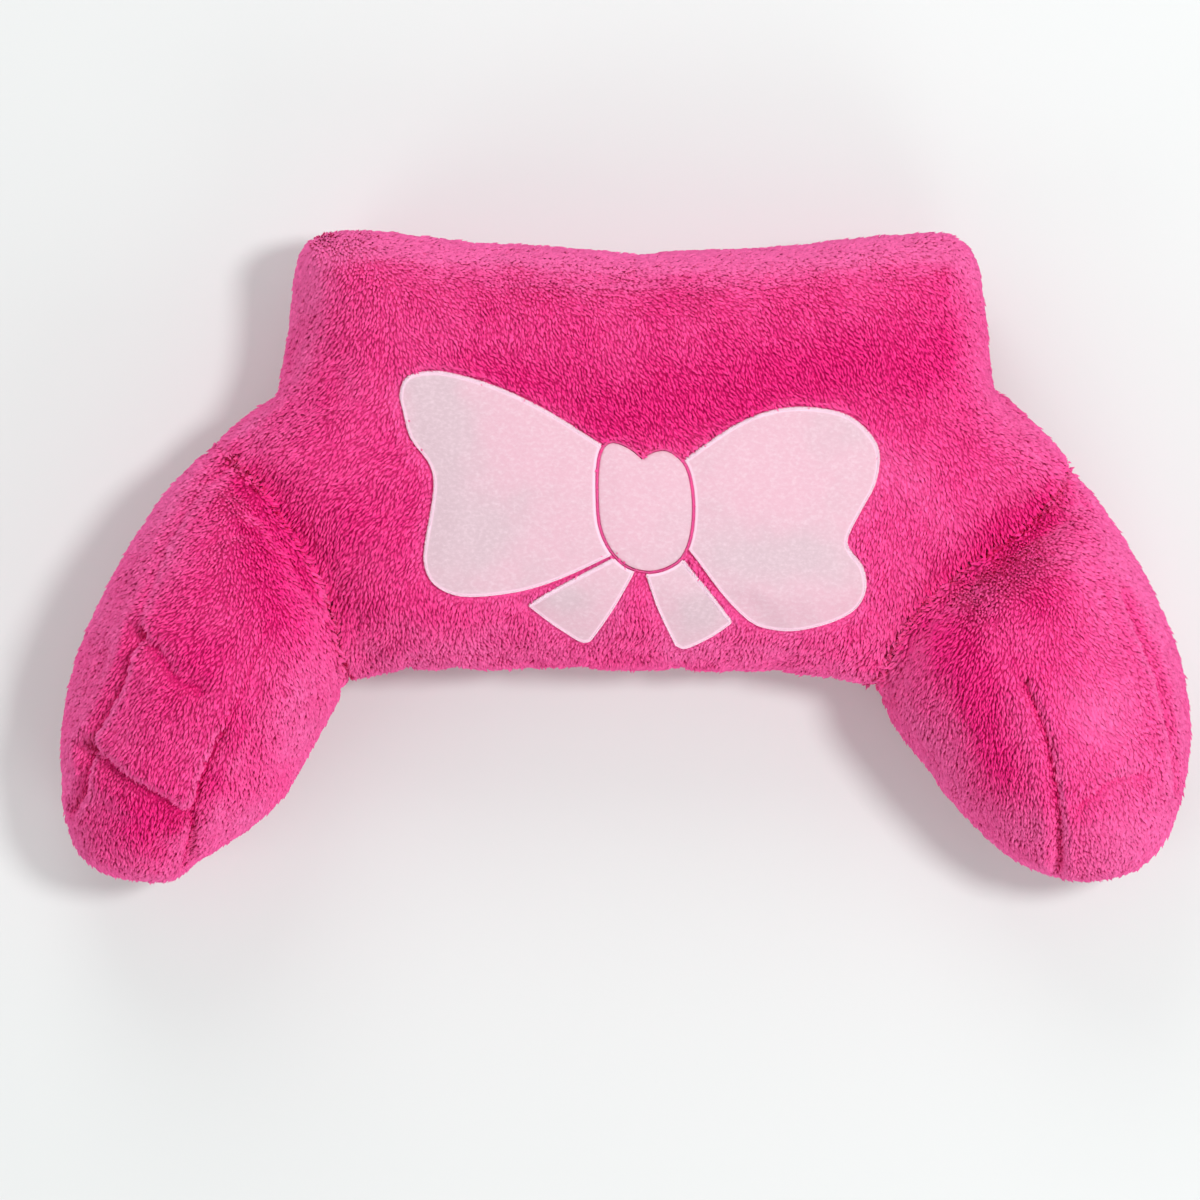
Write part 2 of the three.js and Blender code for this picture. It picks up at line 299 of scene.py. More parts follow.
RIGHT_GROOVES = [
    # the ridge seam, the outer seam and one fold
    ([(0.232, -0.021), (0.251, -0.052), (0.264, -0.084)], 0.0010, 0.0045),
    ([(0.264, -0.084), (0.279, -0.119), (0.290, -0.176), (0.296, -0.219)], 0.0050, 0.0036),
    ([(0.332, -0.023), (0.345, -0.057), (0.357, -0.086), (0.366, -0.125), (0.373, -0.159)],
     0.0024, 0.0036),
    ([(0.303, -0.166), (0.323, -0.149), (0.344, -0.146)], 0.0026, 0.0050),
]
BACK_GROOVES = [
    # the faint line where the face meets the top's panel
    ([(-0.219, 0.185), (-0.198, 0.196), (-0.150, 0.192), (-0.061, 0.186), (0.035, 0.184),
      (0.131, 0.187), (0.205, 0.196)], 0.0007, 0.0060),
]


def distance_to_path(points, path):
    """The plan distance from each point to a path of straight runs."""
    best = np.full(len(points), 1e9)
    for start, end in zip(path, path[1:]):
        start = np.array(start)
        run = np.array(end) - start
        part = np.clip(((points[:, :2] - start) @ run) / (run @ run), 0.0, 1.0)
        apart = np.linalg.norm(points[:, :2] - start - part[:, None] * run, axis=1)
        best = np.minimum(best, apart)
    return best


def softened(path, rounds=2):
    """The path with its corners cut, so that a groove bends softly."""
    for _ in range(rounds):
        rows = [path[0]]
        for (ax, ay), (bx, by) in zip(path, path[1:]):
            rows.append((0.75 * ax + 0.25 * bx, 0.75 * ay + 0.25 * by))
            rows.append((0.25 * ax + 0.75 * bx, 0.25 * ay + 0.75 * by))
        rows.append(path[-1])
        path = rows
    return path


def waves(points, size, seed):
    """Soft random swells of about this size, from -1 to 1."""
    shift = Vector((seed * 7.3, seed * 3.1, seed * 5.7))
    return np.array([noise.noise(Vector(point) / size + shift) for point in points])


def draw_in_grooves(item, grooves, seed):
    """Presses the seams and creases into the cloth and makes it a little uneven."""
    mesh = item.data
    points = points_of(mesh)
    outward = normals_of(mesh)
    upper = fade(outward[:, 2], 0.0, 0.35)
    above = fade(points[:, 2], 0.004, 0.030)
    move = np.zeros(len(points))
    for order, (size, height) in enumerate(WAVE_SIZES):
        move += height * above * waves(points, size, seed + order)
    along_seam = np.zeros(len(points))
    for path, depth, half_width in grooves:
        apart = distance_to_path(points, softened(path))
        groove = np.exp(-(apart / half_width) ** 2)
        past_shoulder = (apart - SHOULDER_PLACE * half_width) / (SHOULDER_WIDTH * half_width)
        shoulder = np.exp(-past_shoulder ** 2)
        move -= upper * depth * (groove - SHOULDER_SHARE * shoulder)
        line = np.exp(-(apart / (SEAM_LINE * half_width)) ** 2)
        along_seam = np.maximum(along_seam, upper * line * depth / DEEP_GROOVE)
    place_points(mesh, points + outward * move[:, None])
    return np.clip(along_seam, 0.0, 1.0)


back_seams = draw_in_grooves(back_cover, BACK_GROOVES, 1)
left_seams = draw_in_grooves(left_arm_cover, LEFT_GROOVES, 11)
right_seams = draw_in_grooves(right_arm_cover, RIGHT_GROOVES, 21)


# ---- Bow: five cut pieces of pale velvet ----------------------------------------
# Two loops, a knot and two tails of short-pile velvet, cut to shape, laid on
# the back rest's cloth and sewn down round their edges, so that they belly up
# a little between the stitches.
BOW_PIECES = ["bow_left_loop", "bow_right_loop", "bow_left_tail", "bow_right_tail", "bow_knot"]
VELVET_GRID = 0.0026         # between the points of the velvet
OUTLINE_STEP = 0.0016        # between the points of its outline, at most
OUTLINE_CROWD = 0.0005       # and at least
EDGE_RINGS = [0.0005, 0.0013, 0.0024]        # rows of points that carry the rolled edge
VELVET_THICKNESS = 0.0014
VELVET_LIFT = 0.0002         # it lies this far over the cloth
EDGE_ROLL = 0.0030           # the edge rolls down over this width
EDGE_RISE = 0.0013
BELLY_REACH = 0.020          # the velvet bellies up from its sewn edge to this far in
BELLY_RISE = 0.0016
DENTS = [(0.0004, 0.011), (0.0005, 0.028)]   # height and size of its soft dents
HEM_WIDTH = (0.0010, 0.0026)
EDGE_PRESS = 0.0012          # the sewn edge pulls the cloth down this much
EDGE_PRESS_REACH = 0.004


def cut_outline(node):
    """The outline of a CAD sheet's upper side as a closed row of plan points, with even steps."""
    shell = bmesh.new()
    shell.from_mesh(merged_solid(node))
    shell.normal_update()
    upper = {face for face in shell.faces if face.normal.z > 0.35}
    after = {}
    for face in upper:
        for loop in face.loops:
            if not any(other in upper for other in loop.edge.link_faces if other is not face):
                after[loop.vert.index] = (loop.link_loop_next.vert.index, loop.vert.co.copy())
    first = min(after)
    rows, here = [], first
    while True:
        ahead, place = after[here]
        rows.append((place.x, place.y))
        here = ahead
        if here == first:
            break
    shell.free()
    return even_steps(rows)


def even_steps(rows):
    """A closed row of points with long runs divided and crowded points dropped."""
    kept = [rows[0]]
    for place in rows[1:]:
        if math.dist(place, kept[-1]) > OUTLINE_CROWD:
            kept.append(place)
    spaced = []
    for (ax, ay), (bx, by) in zip(kept, kept[1:] + kept[:1]):
        parts = max(1, math.ceil(math.dist((ax, ay), (bx, by)) / OUTLINE_STEP))
        spaced += [(ax + (bx - ax) * i / parts, ay + (by - ay) * i / parts) for i in range(parts)]
    return np.array(spaced)


def inside(points, outline):
    """True for each plan point within the closed outline."""
    result = np.zeros(len(points), bool)
    for (ax, ay), (bx, by) in zip(outline, np.roll(outline, -1, axis=0)):
        crosses = (ay > points[:, 1]) != (by > points[:, 1])
        height = np.where(by == ay, 1e-12, by - ay)
        result ^= crosses & (points[:, 0] < ax + (points[:, 1] - ay) * (bx - ax) / height)
    return result


def edge_distance(points, outline):
    """The plan distance from each point to the closed outline."""
    return distance_to_path(points, [*map(tuple, outline), tuple(outline[0])])


def signed_area(outline):
    """The area within a closed outline, negative where it runs clockwise."""
    ahead = np.roll(outline, -1, axis=0)
    return np.sum(outline[:, 0] * ahead[:, 1] - outline[:, 1] * ahead[:, 0]) / 2


def offset(outline, depth):
    """The outline moved inwards, or outwards by a negative depth, without the points that crowd."""
    run = unit(np.roll(outline, -1, axis=0) - np.roll(outline, 1, axis=0))
    side = np.stack([-run[:, 1], run[:, 0]], axis=1)
    moved = outline + side * depth * np.sign(signed_area(outline))
    clear = edge_distance(moved, outline) > 0.93 * abs(depth)
    return moved[clear & (inside(moved, outline) == (depth > 0))]


def stroked_amount(points, strokes):
    """How much the strokes of a hand change the pile at each plan point."""
    amount = np.zeros(len(points))
    for x, y, along, across, turn, change in strokes:
        cos_turn, sin_turn = math.cos(math.radians(turn)), math.sin(math.radians(turn))
        east, north = points[:, 0] - x, points[:, 1] - y
        down_the_stroke = (east * cos_turn + north * sin_turn) / along
        beside_it = (north * cos_turn - east * sin_turn) / across
        amount += change * np.exp(-(down_the_stroke ** 2 + beside_it ** 2))
    return amount


def ground_under(points, tree):
    """The height of the cloth under each plan point."""
    heights = []
    for x, y in points:
        found = tree.ray_cast(Vector((x, y, 0.4)), Vector((0.0, 0.0, -1.0)))
        heights.append(found[0].z if found[0] else 0.0)
    return np.array(heights)


def velvet_sheet(name, outline, tree, hemmed, seed):
    """One cut piece as a closed sheet that follows the cloth, its edge rolled down."""
    low, high = outline.min(axis=0), outline.max(axis=0)
    across = np.arange(low[0], high[0], VELVET_GRID)
    along = np.arange(low[1], high[1], VELVET_GRID)
    grid = np.stack(np.meshgrid(across, along), axis=-1).reshape(-1, 2)
    grid[:, 0] += 0.5 * VELVET_GRID * (np.round((grid[:, 1] - low[1]) / VELVET_GRID) % 2)
    grid = grid[inside(grid, outline)]
    grid = grid[edge_distance(grid, outline) > 1.3 * VELVET_GRID]
    rings = [offset(outline, depth) for depth in EDGE_RINGS]
    plan = np.concatenate([outline, *rings, grid])
    count = len(outline)
    edges = [(i, (i + 1) % count) for i in range(count)]
    cut = geometry.delaunay_2d_cdt([Vector(row) for row in plan], edges, [], 1, 1e-6)
    flat = np.array([tuple(row) for row in cut[0]])
    triangles = [tuple(face) for face in cut[2]]
    depth = edge_distance(flat, outline)
    depth[depth < 1e-5] = 0.0
    ground = ground_under(flat, tree)
    roll = np.sqrt(1.0 - (1.0 - np.clip(depth / EDGE_ROLL, 0.0, 1.0)) ** 2)
    belly = fade(depth, 0.0, BELLY_REACH)
    deep = np.column_stack([flat, ground])
    dents = sum(height * waves(deep, size, seed + order) for order, (height, size) in enumerate(DENTS))
    bulge = BELLY_RISE * belly
    dented = dents * belly
    top = ground + VELVET_LIFT + VELVET_THICKNESS + EDGE_RISE * roll + bulge + dented
    bottom = ground + VELVET_LIFT + 0.8 * (bulge + dented)
    rows = np.concatenate([np.column_stack([flat, top]), np.column_stack([flat, bottom])])
    shift = len(flat)
    faces = []
    for a, b, c in triangles:
        to_b, to_c = flat[b] - flat[a], flat[c] - flat[a]
        if to_b[0] * to_c[1] < to_b[1] * to_c[0]:
            b, c = c, b
        faces.append((a, b, c))
        faces.append((c + shift, b + shift, a + shift))
    used = {}
    for a, b, c in faces[::2]:
        used.update({(a, b): True, (b, c): True, (c, a): True})
    for a, b in used:
        if (b, a) not in used:
            faces.append((b, a, a + shift, b + shift))
    mesh = bpy.data.meshes.new(name)
    mesh.from_pydata(rows.tolist(), [], faces)
    mesh.validate()
    mesh.shade_smooth()
    mesh.update()
    mesh.materials.append(velvet_material)
    give_attribute(mesh, "stroked", np.tile(stroked_amount(flat, VELVET_STROKES), 2))
    hem = 1.0 - fade(depth, *HEM_WIDTH) if hemmed else np.zeros(len(flat))
    give_attribute(mesh, "hem", np.tile(hem, 2))
    return new_object(name, mesh)


# linear colours of the velvet: brushed up, brushed down, where it looks greyer, at its rolled hem
VELVET_ROSE = (0.660, 0.398, 0.480)
VELVET_PALE = (0.72, 0.56, 0.62)
VELVET_GREY = (0.565, 0.418, 0.467)
VELVET_HEM = (0.84, 0.58, 0.70)

# where the velvet was stroked grey or rosy: plan place, reach along and across, turn, by how much
VELVET_STROKES = [
    (-0.128, 0.105, 0.040, 0.018, -75, 0.45), (-0.110, 0.020, 0.045, 0.030, 0, 0.45),
    (-0.128, 0.060, 0.030, 0.014, 90, 0.35), (-0.040, 0.075, 0.055, 0.022, -35, -0.45),
    (0.012, 0.070, 0.025, 0.016, 0, -0.30), (0.110, 0.055, 0.040, 0.030, 30, -0.25),
    (0.145, 0.085, 0.022, 0.016, 0, 0.25), (0.105, -0.002, 0.045, 0.014, 0, 0.35),
    (-0.040, -0.028, 0.014, 0.010, 0, 0.40), (0.050, -0.038, 0.014, 0.012, 0, 0.40),
]


def node_with(tree, kind, inputs, end=None, **settings):
    """A new node with its settings, each input given as a value, a socket or a node's first output.

    The node's own first output feeds the end, if one is given.
    """
    node = tree.nodes.new(kind)
    for field, value in settings.items():
        setattr(node, field, value)
    for name, value in inputs.items():
        if isinstance(value, bpy.types.Node):
            value = value.outputs[0]
        if isinstance(value, bpy.types.NodeSocket):
            tree.links.new(value, node.inputs[name])
        else:
            node.inputs[name].default_value = value
    if end:
        tree.links.new(node.outputs[0], end)
    return node


def worked_out(tree, operation, first, second, **settings):
    """The socket of a small sum of two numbers."""
    node = node_with(tree, "ShaderNodeMath", {0: first, 1: second}, operation=operation, **settings)
    return node.outputs[0]


def blended(tree, share, first, second):
    """The socket of a colour between two, by its share of the second."""
    node = node_with(tree, "ShaderNodeMix", {"Factor": share, "A": first, "B": second}, data_type="RGBA")
    return node.outputs["Result"]


def stored_value(tree, name):
    """The socket of a number that is stored on the mesh."""
    node = tree.nodes.new("ShaderNodeAttribute")
    node.attribute_name = name
    return node.outputs["Fac"]


def new_material(name, roughness, specular):
    """A material of this name, and its tree and shader."""
    material = bpy.data.materials.new(name)
    material.use_nodes = True
    shader = material.node_tree.nodes["Principled BSDF"]
    shader.inputs["Roughness"].default_value = roughness
    shader.inputs["Specular IOR Level"].default_value = specular
    return material, material.node_tree, shader


def velvet():
    """Short-pile velvet, with soft marks where it was stroked and small pale flecks."""
    material, tree, shader = new_material("pale velvet", 0.7, 0.2)
    shader.inputs["Sheen Weight"].default_value = 0.25
    shader.inputs["Sheen Roughness"].default_value = 0.4
    shader.inputs["Sheen Tint"].default_value = (1.0, 0.93, 0.96, 1.0)
    place = tree.nodes.new("ShaderNodeTexCoord").outputs["Object"]
    strokes = node_with(tree, "ShaderNodeTexNoise",
                        {"Vector": place, "Scale": 17.0, "Detail": 7.0, "Roughness": 0.62})
    marks = worked_out(tree, "ADD", strokes, stored_value(tree, "stroked"))
    greyer = node_with(tree, "ShaderNodeMapRange", {"Value": marks, "From Min": 0.30, "From Max": 0.90},
                       interpolation_type="SMOOTHSTEP")
    stroked = blended(tree, greyer, (*VELVET_ROSE, 1.0), (*VELVET_GREY, 1.0))
    squeeze = node_with(tree, "ShaderNodeMapping", {
        "Vector": place, "Rotation": (0.0, 0.0, math.radians(20)), "Scale": (300.0, 420.0, 300.0)})
    flecks = node_with(tree, "ShaderNodeTexNoise", {
        "Vector": squeeze, "Scale": 1.0, "Detail": 5.0, "Roughness": 0.68})
    pale = node_with(tree, "ShaderNodeMapRange", {
        "Value": flecks, "From Min": 0.40, "From Max": 0.80, "To Max": 0.70},
        interpolation_type="SMOOTHSTEP")
    flecked = blended(tree, pale, stroked, (*VELVET_PALE, 1.0))
    hemmed = blended(tree, stored_value(tree, "hem"), flecked, (*VELVET_HEM, 1.0))
    tree.links.new(hemmed, shader.inputs["Base Color"])
    node_with(tree, "ShaderNodeBump", {"Height": flecks, "Strength": 0.6, "Distance": 0.0005},
              shader.inputs["Normal"])
    return material


outlines = {node: cut_outline(node) for node in BOW_PIECES}


def press_under(item, outlines):
    """Pulls the cloth down along the sewn edges. Gives where the velvet covers it and the gap to it."""
    mesh = item.data
    points = points_of(mesh)
    outward = normals_of(mesh)
    upper = outward[:, 2] > 0.3
    covered = np.zeros(len(points))
    gap = np.full(len(points), 1.0)
    for outline in outlines.values():
        low, high = outline.min(axis=0) - 0.02, outline.max(axis=0) + 0.02
        close = np.all((points[:, :2] > low) & (points[:, :2] < high), axis=1)
        near = np.nonzero(upper & close)[0]
        apart = edge_distance(points[near], outline)
        within = inside(points[near], outline)
        signed = np.where(within, apart, -apart)
        covered[near] = np.maximum(covered[near], fade(signed, -0.0003, 0.0010))
        gap[near] = np.minimum(gap[near], np.where(within, 0.0, apart))
    move = EDGE_PRESS * np.exp(-(gap / EDGE_PRESS_REACH) ** 2)
    place_points(mesh, points - outward * move[:, None])
    return covered, gap


covered, bow_gap = press_under(back_cover, outlines)
back_tree = tree_of(back_cover.data)
velvet_material = velvet()
for number, node in enumerate(BOW_PIECES):
    outline = outlines[node]
    sheet = velvet_sheet(node + "_velvet", outline, back_tree, node != "bow_knot", 41 + number)
    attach(sheet, "root")
    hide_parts(node)


# ---- Stitching round the bow -----------------------------------------------------
# Satin stitch, close threads laid side by side across an edge: hot pink in
# the lane round the knot, pale pink over the cut edges of loops and tails.
KNOT_LANE = 0.0010           # the middle of the lane, out from the knot's edge
KNOT_CLEAR = 0.0030          # the pale stitching ends this far from the knot
RIM_INSET = 0.0004
# from stitch to stitch, the thread's width, its length across the edge and its height
KNOT_STITCH = {"Spacing": 0.00042, "Width": 0.00055, "Length": 0.0021, "Height": 0.0012}
RIM_STITCH = {"Spacing": 0.00050, "Width": 0.00062, "Length": 0.0029, "Height": 0.0006}
KNOT_THREAD = (0.92, 0.13, 0.41)
RIM_THREAD = (0.90, 0.70, 0.80)


def thread_mesh():
    """One stitch of unit size lying across X: a thread that arches from edge to edge along Y."""
    rings = [(-0.36, 0.35, 0.75), (0.0, 0.5, 1.0), (0.36, 0.35, 0.75)]
    rows = [(0.0, -0.5, 0.0)]
    for along, half, top in rings:
        rows += [(-half, along, 0.0), (0.0, along, top), (half, along, 0.0), (0.0, along, -0.3)]
    rows.append((0.0, 0.5, 0.0))
    faces = []
    for side in range(4):
        ahead = (side + 1) % 4
        faces.append((0, 1 + ahead, 1 + side))
        for start in (1, 5):
            faces.append((start + side, start + ahead, start + 4 + ahead, start + 4 + side))
        faces.append((9 + side, 9 + ahead, 13))
    mesh = bpy.data.meshes.new("thread")
    mesh.from_pydata(rows, [], faces)
    shell = bmesh.new()
    shell.from_mesh(mesh)
    bmesh.ops.recalc_face_normals(shell, faces=shell.faces)
    shell.to_mesh(mesh)
    shell.free()
    mesh.shade_smooth()
    return mesh


def new_tree(name, shape, numbers):
    """A geometry nodes tree that lays copies of a shape, with its inputs' sockets and its end."""
    tree = bpy.data.node_groups.new(name, "GeometryNodeTree")
    sockets = [("Geometry", "Geometry"), (shape, "Object")] + [(number, "Float") for number in numbers]
    for label, kind in sockets + [("Seed", "Int"), ("Material", "Material")]:
        tree.interface.new_socket(label, in_out="INPUT", socket_type="NodeSocket" + kind)
    tree.interface.new_socket("Geometry", in_out="OUTPUT", socket_type="NodeSocketGeometry")
    given = tree.nodes.new("NodeGroupInput").outputs
    result = tree.nodes.new("NodeGroupOutput").inputs["Geometry"]
    return tree, given, result


def from_cloth(tree, name, kind="FLOAT"):
    """The socket of a value or arrow that is stored on the mesh that the tree works on."""
    node = node_with(tree, "GeometryNodeInputNamedAttribute", {"Name": name}, data_type=kind)
    return node.outputs["Attribute"]


def random_arrow(tree, seed, low, high):
    """The socket of a random arrow between two."""
    node = node_with(tree, "FunctionNodeRandomValue", {"Min": low, "Max": high, "Seed": seed},
                     data_type="FLOAT_VECTOR")
    return node.outputs["Value"]


def multiplied(tree, first, second):
    """The socket of two arrows multiplied part by part."""
    node = node_with(tree, "ShaderNodeVectorMath", {0: first, 1: second}, operation="MULTIPLY")
    return node.outputs["Vector"]


def satin_stitch_tree():
    """Geometry nodes: threads laid side by side across a path, as long as its "broad" says."""
    tree, given, result = new_tree("satin stitch", "Thread", ["Spacing", "Width", "Length", "Height"])
    path = node_with(tree, "GeometryNodeMeshToCurve", {"Mesh": given["Geometry"]})
    steps = node_with(tree, "GeometryNodeResampleCurve", {"Curve": path, "Length": given["Spacing"]},
                      mode="LENGTH")
    tangent = tree.nodes.new("GeometryNodeInputTangent")
    aim = node_with(tree, "FunctionNodeAlignRotationToVector", {"Vector": tangent.outputs["Tangent"]},
                    axis="X", pivot_axis="Z")
    stray = random_arrow(tree, given["Seed"], (0.0, 0.0, -0.10), (0.0, 0.0, 0.22))
    turned = node_with(tree, "FunctionNodeRotateRotation", {
        "Rotation": aim, "Rotate By": stray}, rotation_space="LOCAL")
    uneven = random_arrow(tree, given["Seed"], (0.85, 0.88, 0.85), (1.15, 1.15, 1.15))
    length = worked_out(tree, "MULTIPLY", given["Length"], from_cloth(tree, "broad"))
    size = node_with(tree, "ShaderNodeCombineXYZ", {
        "X": given["Width"], "Y": length, "Z": given["Height"]})
    thread = node_with(tree, "GeometryNodeObjectInfo", {"Object": given["Thread"]},
                       transform_space="ORIGINAL")
    laid = node_with(tree, "GeometryNodeInstanceOnPoints", {
        "Points": steps, "Instance": thread.outputs["Geometry"], "Rotation": turned,
        "Scale": multiplied(tree, uneven, size)})
    real = node_with(tree, "GeometryNodeRealizeInstances", {"Geometry": laid})
    node_with(tree, "GeometryNodeSetMaterial", {"Geometry": real, "Material": given["Material"]}, result)
    return tree


def with_tree(item, tree, inputs):
    """Works a geometry nodes tree into an object, its named inputs set by their identifiers."""
    modifier = item.modifiers.new(tree.name, "NODES")
    modifier.node_group = tree
    identifiers = {socket.name: socket.identifier for socket in tree.interface.items_tree
                   if socket.in_out == "INPUT"}
    for name, value in inputs.items():
        modifier[identifiers[name]] = value
    return finished_mesh(item)


def thread_material(name, colour):
    """Shiny embroidery thread, a little uneven in colour, with its twist as fine ridges."""
    material, tree, shader = new_material(name, 0.45, 0.4)
    place = tree.nodes.new("ShaderNodeTexCoord").outputs["Object"]
    drift = node_with(tree, "ShaderNodeTexNoise", {"Vector": place, "Scale": 700.0})
    darker = (*[0.88 * part for part in colour], 1.0)
    lighter = (*[min(1.0, 1.08 * part) for part in colour], 1.0)
    tree.links.new(blended(tree, drift.outputs["Fac"], darker, lighter), shader.inputs["Base Color"])
    twist = node_with(tree, "ShaderNodeTexNoise", {"Vector": place, "Scale": 5200.0})
    node_with(tree, "ShaderNodeBump", {"Height": twist, "Strength": 0.4, "Distance": 0.0001},
              shader.inputs["Normal"])
    return material


def stitched_path(name, rows, joins, broad, stitch, material, seed):
    """Satin stitches along joined rows of points, broad giving their length there, as a plain mesh."""
    mesh = bpy.data.meshes.new(name)
    mesh.from_pydata(rows.tolist(), joins, [])
    give_attribute(mesh, "broad", broad)
    item = new_object(name, mesh)
    with_tree(item, stitch_tree, {"Thread": thread, "Seed": seed, "Material": material, **stitch})
    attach(item, "root")


thread = new_object("thread", thread_mesh())
stitch_tree = satin_stitch_tree()
knot_thread = thread_material("hot pink thread", KNOT_THREAD)
rim_thread = thread_material("pale pink thread", RIM_THREAD)

lane = offset(outlines["bow_knot"], -KNOT_LANE)
lane_heights = ground_under(lane, back_tree) + VELVET_LIFT + 0.8 * VELVET_THICKNESS
lane_rows = np.column_stack([lane, lane_heights])
lane_joins = [(row, (row + 1) % len(lane)) for row in range(len(lane))]
lane_side = np.abs(lane[:, 0] - lane[:, 0].mean()) / np.ptp(lane[:, 0]) * 2.0
lane_top = fade(lane[:, 1], lane[:, 1].mean(), lane[:, 1].max())
lane_broad = 0.50 + 0.65 * lane_side ** 2 + 0.15 * lane_top
stitched_path("knot_stitching", lane_rows, lane_joins, lane_broad, KNOT_STITCH, knot_thread, 71)

rim_rows = []
rim_joins = []
rim_broad = []
for node in BOW_PIECES[:4]:
    rim = offset(outlines[node], RIM_INSET)
    heights = ground_under(rim, back_tree) + VELVET_LIFT + VELVET_THICKNESS + 0.75 * EDGE_RISE
    clear = edge_distance(rim, outlines["bow_knot"]) > KNOT_CLEAR
    run = unit(np.roll(rim, -1, axis=0) - np.roll(rim, 1, axis=0))
    upward = -run[:, 0] * np.sign(signed_area(rim))
    rim_broad.append(0.42 + 0.70 * fade(upward, -0.6, 0.5))
    first = sum(len(part) for part in rim_rows)
    for row in range(len(rim)):
        ahead = (row + 1) % len(rim)
        if clear[row] and clear[ahead]:
            rim_joins.append((first + row, first + ahead))
    rim_rows.append(np.column_stack([rim, heights]))
stitched_path("bow_edge_stitching", np.concatenate(rim_rows), rim_joins, np.concatenate(rim_broad),
              RIM_STITCH, rim_thread, 72)
bpy.data.objects.remove(thread)


# ---- Plush cloth and its pile ----------------------------------------------
# Long-pile fleece: thousands of little tufts stand on the cloth and all lean
# the way it was last brushed. Where they lie flat, and on the sides, they are painted paler: painted
# sheen.
TUFT_LENGTH = 0.0062
TUFT_WIDTH = 0.0019
TUFT_SPACING = 0.0018
MIDDLE = 0.012               # the back's pile is grown in two halves that meet here
TUFT_BELLY = 0.52            # where a tuft is widest, as a part of its length
STANDING_LEAN = math.radians(65)
LYING_LEAN = math.radians(79)
TUFT_SCATTER = 0.20          # how far the tufts stray from the way they are brushed
TUFT_LOWEST = 0.0003         # no tuft goes below this over the ground
FLAT_FULLER = 0.30           # lying flat, the tufts spread and hide the gaps between them
TUFT_FACES = 4
FLANK_LIGHT = 0.66           # painted shade: how light a tuft's flanks and tip are painted beside its crest, which faces away from the cloth
TIP_LIGHT = 0.90

# the way the pile points: plan place in metres, degrees from +X
BRUSHED = [
    (-0.21, 0.19, 250), (-0.14, 0.19, 305), (-0.05, 0.19, 285), (0.08, 0.19, 300), (0.21, 0.19, 290),
    (-0.20, 0.13, 235), (-0.11, 0.14, 305), (0.01, 0.13, 295), (0.13, 0.14, 300), (0.24, 0.13, 280),
    (-0.29, 0.05, 220), (-0.20, 0.06, 230), (-0.15, 0.01, 235), (0.01, 0.08, 305), (0.17, 0.07, 290),
    (0.26, 0.08, 310), (-0.24, 0.01, 265), (0.17, 0.00, 260), (0.22, 0.01, 285), (0.26, 0.00, 255),
    (0.31, 0.00, 315), (-0.34, -0.05, 230), (-0.29, -0.04, 225), (-0.22, -0.05, 275), (-0.14, -0.05, 275),
    (0.00, -0.07, 260), (0.12, -0.07, 245), (0.20, -0.05, 250), (0.27, -0.04, 260), (0.33, -0.05, 315),
    (-0.35, -0.11, 245), (-0.29, -0.11, 235), (-0.24, -0.12, 260), (0.23, -0.11, 260), (0.28, -0.11, 275),
    (0.32, -0.11, 305), (0.37, -0.12, 285), (-0.35, -0.18, 270), (-0.29, -0.19, 230), (-0.25, -0.16, 265),
    (0.27, -0.18, 260), (0.31, -0.17, 290), (0.35, -0.19, 280),
]
BRUSH_REACH = 0.028          # each row counts for about this far round it
WAVER = (0.6, 0.020)         # it strays by so many radians, over patches of this size
ASIDE = 0.60                 # on a slope against the brushed way it turns aside, and a little up
ASIDE_RISE = 0.25
HANG = 0.30                  # on a slope that faces that way it hangs
BOW_REACH = 0.007            # the bow's edge turns and flattens the pile this near to it
BOW_HALO = 0.30
BOW_SHORTER = 0.35           # close to the bow, in a groove and down a seam's side it is shorter
GROOVE_SHORTER = 0.40
SEAM_SIDE_SHORTER = 0.50
SEAM_LEAN = 0.60             # the pile leans over the seam where two cloths meet
SEAM_FULLER = 0.50           # and its tufts are broader and longer there
SEAM_TALLER = 0.35
SEAM_LIGHT = 0.9             # and lit as if the cloth lay level there, because the pile closes over it
GROOVE_THINNER = 0.45        # how much thinner it grows in a groove and on the underside
UNDER_THINNER = 0.85
WALL_PILE = 0.008            # in the seam the pile grows only this far below the top
PILE_FLATNESS = 0.36         # from 0, standing up, to 1, lying flat
PATCHES = (0.16, 0.030)      # it is flatter and steeper by this much, over patches of this size
# in a groove the pile stands steeper and is painted darker: painted shade
GROOVE_STEEPER_AND_SHADE = 0.5
SIDE_PAINTED_SHEEN = 0.50         # painted sheen: the sides are painted paler, as pile looks when seen from the side
# how smooth the pile looks beside its flatness, which softens its shading and paints its roots with less
# shade: everywhere, on the sides, where those are stroked up, and beside a seam
SMOOTH_ALL = -0.08
SMOOTH_SIDE = -0.28
SMOOTH_RAISED = 1.6
SMOOTH_SEAM = 0.50
